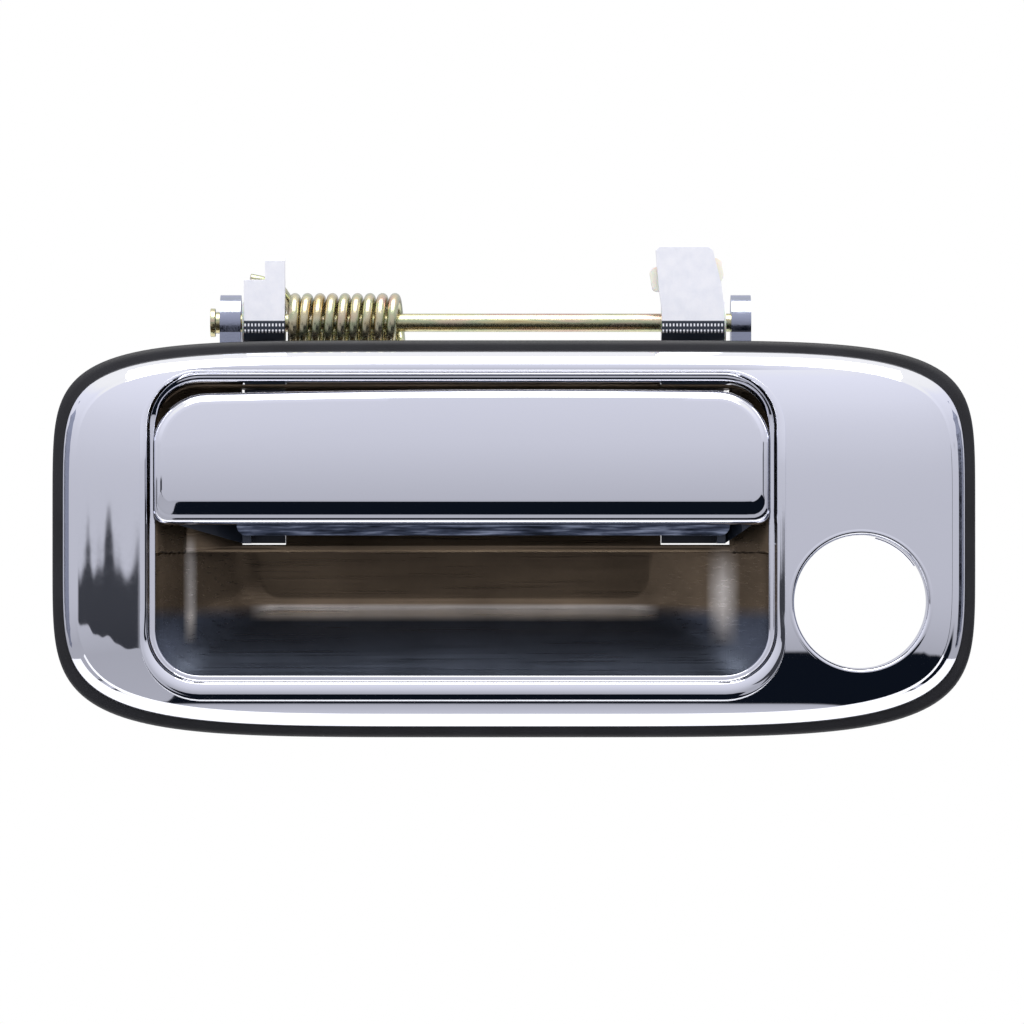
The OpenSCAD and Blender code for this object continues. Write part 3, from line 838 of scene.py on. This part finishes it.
# %% Spring path
PIN_Y, PIN_Z, COIL_R, TURNS = 8.0, 47.0, 5.35, 9
end = 360 * TURNS + 150
leg = ((-57.4, 9.75, 56.6), (-55.2, 10.1, 56.2), (-52.8, 10.9, 55.4), (-50.6, 12.1, 54.0),
       (-49.1, 13.0, 51.8), (-48.45, 13.35, 49.4))
path = [Vector(p) for p in leg]


def coil(deg):
    x = -48.3 + 0.7 * (deg - 90) / 270 if deg < 360 else -47.6 + 2.72 * (deg - 360) / 360
    a = math.radians(deg)
    return Vector((x, PIN_Y + COIL_R * math.sin(a), PIN_Z + COIL_R * math.cos(a)))


path += [coil(d) for d in range(90, end + 1, 6)]
tail = Vector((0, math.cos(math.radians(end)), -math.sin(math.radians(end))))
path += [coil(end) + tail * s for s in (2, 4, 6.5, 9)]
print("points along the wire:", len(path))

# %% Spring wire
curve = bpy.data.curves.new("spring_wire", "CURVE")
curve.dimensions = "3D"
curve.bevel_depth = 1.14 * MM
curve.bevel_resolution = 6
curve.use_fill_caps = True
run = curve.splines.new("POLY")
run.points.add(len(path) - 1)
for point, v in zip(run.points, path):
    point.co = (*at(*v), 1.0)
wire = bpy.data.objects.new("wire_path", curve)
scene.collection.objects.link(wire)
spring_mesh = bpy.data.meshes.new_from_object(wire.evaluated_get(bpy.context.evaluated_depsgraph_get()))
bpy.data.objects.remove(wire)
spring_mesh.polygons.foreach_set("use_smooth", [True] * len(spring_mesh.polygons))
spring = bpy.data.objects.new("spring_coils", spring_mesh)
scene.collection.objects.link(spring)
spring_mesh.materials.clear()
spring_mesh.materials.append(spring_zinc)
print("spring:", len(spring_mesh.polygons), "faces")
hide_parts("return_spring")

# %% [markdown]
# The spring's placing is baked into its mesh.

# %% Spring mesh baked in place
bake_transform(spring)
print("the turn is spread over", TURNS, "coils")

# %% [markdown]
# ## Castings and small parts
#
# The arms, the web, the clip and the screws have the right shape in the frame, but their edges are
# knife sharp. Each gets a copy with a *Bevel* modifier, so its edges catch a line of light.


# %% Softened copies
def softened(name, body, width, mat, tweak=None):
    bm = bmesh.new()
    bm.from_mesh(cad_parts[name].data)
    if tweak:
        for v in bm.verts:
            tweak(v)
    bmesh.ops.remove_doubles(bm, verts=bm.verts, dist=0.002 * MM)
    bmesh.ops.dissolve_limit(bm, angle_limit=math.radians(1.0), verts=bm.verts, edges=bm.edges)
    obj = as_object(bm, name + "_soft", smooth=False)
    obj.data.materials.append(mat)
    edge = obj.modifiers.new("edge", "BEVEL")
    edge.width = width * MM
    edge.segments = 3
    edge.limit_method = "ANGLE"
    edge.angle_limit = math.radians(35)
    edge.harden_normals = False
    obj.data.polygons.foreach_set("use_smooth", [True] * len(obj.data.polygons))
    shading = obj.modifiers.new("shade", "WEIGHTED_NORMAL")
    shading.keep_sharp = False
    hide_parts(name)
    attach(obj, body)


# %% Arms, web, screws, clip and pin
def slant(v):
    """The lower edge of each side gusset rises towards the grip's end."""
    x = v.co.x / MM
    out = (-58.6 - x) / 14.4 if x < -58.6 else (x - 45.7) / 5.9 if x > 45.7 else 0.0
    if v.co.z < at(0, 0, -0.9).z:
        v.co.z += 4.2 * out * MM


softened("hinge_arm_left", "handle", 0.35, satin_arms, slant)
softened("hinge_arm_right", "handle", 0.35, satin_arms, slant)
softened("finger_web", "handle", 0.25, web_sheet)
softened("arm_screws", "handle", 0.15, zinc_screw)
softened("cup_screws", "plate", 0.15, zinc_screw)
softened("rod_clip", "clip", 0.4, white_nylon)
softened("pivot_pin", "plate", 0.15, pin_zinc)

# %% [markdown]
# The casting behind the face, the seal, the rubber pads and the bushes stay as the frame gives them.
# They only get a material.

# %% Finishes on the pieces that stay as they are
finishes = {"bezel": cast_chrome, "cup_seal": foam_rubber}
for side in ("left", "right"):
    finishes["close_buffer_" + side] = gasket_rubber
    finishes["open_stop_" + side] = gasket_rubber
    finishes["bush_" + side] = white_nylon
for name, mat in finishes.items():
    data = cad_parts[name].data
    data.materials.clear()
    data.materials.append(mat)
print(len(finishes), "pieces keep their shape")

# %% [markdown]
# ## Studio
#
# Polished chrome has no look of its own: it shows the room. So the room is a soft white tent, with a
# dark card low in front that draws the black streaks along the lower edges. The tent is one colour
# ramp from the floor to the zenith, brighter above, because most of the light comes from there. The
# camera itself sees plain white.

# %% Room
world = bpy.data.worlds.new("studio")
scene.world = world
world.use_nodes = True
t = world.node_tree
t.nodes.clear()
way = node(t, "TexCoord", out="Generated")
side, depth, up = (node(t, "SeparateXYZ", way, out=axis) for axis in "XYZ")


def cool(v):
    """The tent's cloth: a grey with a little blue in it."""
    return (v, v * 1.01, min(v * 1.13, 1.0), 1.0)


from_floor = node(t, "Math", up, 0.5, 0.5, operation="MULTIPLY_ADD")  # 0 straight down, 1 straight up
tent = node(t, "ValToRGB", from_floor, stops=[
    (0.0, grey(0.95)), (0.098, grey(0.92)), (0.106, cool(0.08)), (0.118, cool(0.08)), (0.124, cool(0.62)),
    (0.175, cool(0.44)), (0.40, cool(0.41)), (0.44, cool(0.46)), (0.50, cool(0.55)), (0.55, cool(0.63)),
    (0.68, cool(0.76)), (0.80, cool(0.84)), (0.88, grey(0.95)), (1.0, grey(1.0))])
print("tent:", len(t.nodes), "nodes")

# %% [markdown]
# A card is a soft-edged dark rectangle in front of the tent, given by the heights of its top and foot
# and by its left and right ends. All are parts of a direction, from -1 to 1. Noise makes the edges
# uneven, as draped cloth is.

# %% Cards
CARD_EDGE = 0.012
ripple = node(t, "TexNoise", Vector=way, Scale=9.0, Detail=3.0)
wobble = node(t, "Math", ripple, 0.10, -0.05, operation="MULTIPLY_ADD")
along = node(t, "CombineXYZ", X=side)
folds = node(t, "TexNoise", Vector=along, Scale=5.5, Detail=1.0)
jag = node(t, "Math", folds, 2.0, -1.0, operation="MULTIPLY_ADD")
in_front = node(t, "MapRange", depth, -0.05, -0.12, interpolation_type="SMOOTHSTEP")


def card(top, foot, left, right, soft=CARD_EDGE):
    """1 on the card, 0 off it."""
    under_top = node(t, "Math", up, top, operation="SUBTRACT")
    over_foot = node(t, "Math", up, foot, operation="SUBTRACT")
    mask = in_front
    for value, start, end in ((under_top, soft, -soft), (over_foot, -soft, soft),
                              (side, left - CARD_EDGE, left + CARD_EDGE),
                              (side, right + CARD_EDGE, right - CARD_EDGE)):
        edge = node(t, "MapRange", value, start, end, interpolation_type="SMOOTHSTEP")
        mask = node(t, "Math", mask, edge, operation="MULTIPLY")
    return mask


to_left = node(t, "MapRange", side, -0.06, -0.115, interpolation_type="SMOOTHSTEP")
to_right = node(t, "MapRange", side, 0.04, 0.14, interpolation_type="SMOOTHSTEP")
low_top = node(t, "Math", to_left, -0.42, -0.20, operation="MULTIPLY_ADD")
low_top = node(t, "Math", wobble, 0.4, low_top, operation="MULTIPLY_ADD")
low_foot = node(t, "Math", to_right, -0.055, -0.640, operation="MULTIPLY_ADD")
left_top = node(t, "Math", jag, 0.026, -0.008, operation="MULTIPLY_ADD")
left_foot = node(t, "Math", side, -0.22, -0.235, operation="MULTIPLY_ADD")
left_foot = node(t, "Math", jag, 0.05, left_foot, operation="MULTIPLY_ADD")
post_top, low_post_top, low_post_foot = (
    node(t, "Math", wobble, height, operation="ADD") for height in (0.10, 0.06, -0.7))

left_card = node(t, "Math", card(left_top, left_foot, -0.80, -0.22, soft=0.004), 0.92, operation="MULTIPLY")
cards = card(low_top, low_foot, -0.86, 0.97)
for other in (left_card, card(post_top, 0.0, 0.90, 0.97), card(low_post_top, low_post_foot, 0.86, 0.97)):
    cards = node(t, "Math", cards, other, operation="MAXIMUM")
print("with its cards:", len(t.nodes), "nodes")

# %% [markdown]
# The room is joined up here: the tent, the cards over it, and plain white for the camera's own view.

# %% What the camera sees
CARD_BLACK = (0.004, 0.006, 0.011, 1)
room = node(t, "Mix", numbered={0: cards, 6: tent, 7: CARD_BLACK}, data_type="RGBA", out=2)
by_camera = node(t, "LightPath", out="Is Camera Ray")
seen = node(t, "Mix", numbered={0: by_camera, 6: room, 7: grey(1.0)}, data_type="RGBA", out=2)
node(t, "OutputWorld", node(t, "Background", Color=seen))
print("room:", len(t.nodes), "nodes")

# %% [markdown]
# ## Floor, lights and camera
#
# The floor is well below the handle. A big panel overhead gives the soft highlights, and a fill light
# in front, which the chrome can't mirror, lifts the dull parts. A long lens stands back from the
# handle, level with it, so its outline has almost no perspective.

# %% Floor
bm = bmesh.new()
bmesh.ops.create_grid(bm, x_segments=2, y_segments=2, size=1.0)
for v in bm.verts:
    v.co = Vector((v.co.x * 0.8, 0.30 + v.co.y * 0.42, -0.30))
floor = as_object(bm, "floor", smooth=False)
floor.data.materials.append(plain("pale_floor", ("f2f2f2", "f6f6f6"), 0.7, 1.0, 0.0))


# %% Lights
def panel(name, place, target, size, watts, mirrored=True):
    light = bpy.data.lights.new(name, "AREA")
    light.shape, light.size, light.energy = "SQUARE", size, watts
    obj = bpy.data.objects.new(name, light)
    obj.location = place
    obj.rotation_euler = (Vector(target) - Vector(place)).to_track_quat("-Z", "Y").to_euler()
    obj.visible_glossy = mirrored
    scene.collection.objects.link(obj)


panel("top_panel", (0.0, -0.25, 0.9), (0, 0, 0), 0.9, 9.0)
panel("front_fill", (0.1, -1.1, 0.5), (0, 0, 0), 0.8, 3.2, mirrored=False)  # lifts the dull parts only
print("lights:", len(bpy.data.lights))

# %% Camera
camera = bpy.data.cameras.new("camera")
camera.lens = 261.0
camera.sensor_width = 36.0
cam = bpy.data.objects.new("camera", camera)
cam.location = (-0.0004, -1.608, -0.0042)
cam.rotation_euler = (math.radians(90), 0, 0)
scene.collection.objects.link(cam)
scene.camera = cam
scene.view_settings.view_transform = "Standard"
scene.view_settings.look = "None"
print("camera:", tuple(round(c, 3) for c in cam.location))
